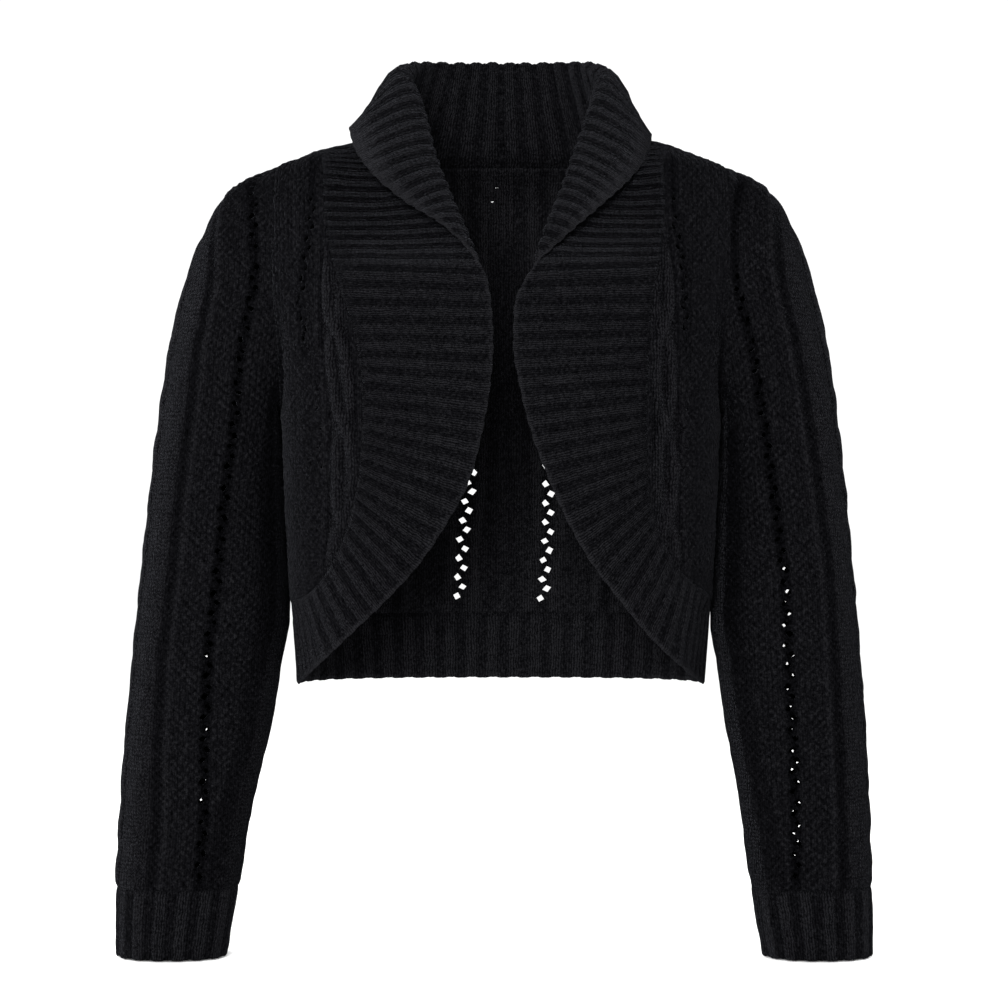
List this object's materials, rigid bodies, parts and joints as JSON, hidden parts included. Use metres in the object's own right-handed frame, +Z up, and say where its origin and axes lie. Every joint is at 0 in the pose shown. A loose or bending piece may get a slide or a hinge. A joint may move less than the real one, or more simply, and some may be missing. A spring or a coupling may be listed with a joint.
{
  "type": "knitted shrug",
  "caption": "Cropped open-front knitted shrug with long set-in sleeves, ribbed cuffs and hem, and one ribbed strip as shawl collar and front band, filled out as when worn.",
  "frame": {"origin": "between the tops of the two shoulders, in the plane of the centre front and back, where the wearer's shoulders hold the garment up", "axes": "+Z up, -Y towards the open front, +X to the wearer's left sleeve; sleeve_right, cuff_right and front_right are the pieces on the right of a front view, at +X"},
  "size_m": [0.5876, 0.2189, 0.7055],
  "materials": {
    "wool_knit": "matte chunky wool knit with twists, moss stitch and small eyelets",
    "ribbed_wool_knit": "matte chunky wool knit, ribbed"
  },
  "bodies": {
    "root": {"back": "wool_knit", "back_hem_rib": "ribbed_wool_knit", "collar_band": "ribbed_wool_knit", "cuff_left": "ribbed_wool_knit", "cuff_right": "ribbed_wool_knit", "front_left": "wool_knit", "front_right": "wool_knit", "sleeve_left": "wool_knit", "sleeve_right": "wool_knit"}
  },
  "joints": []
}
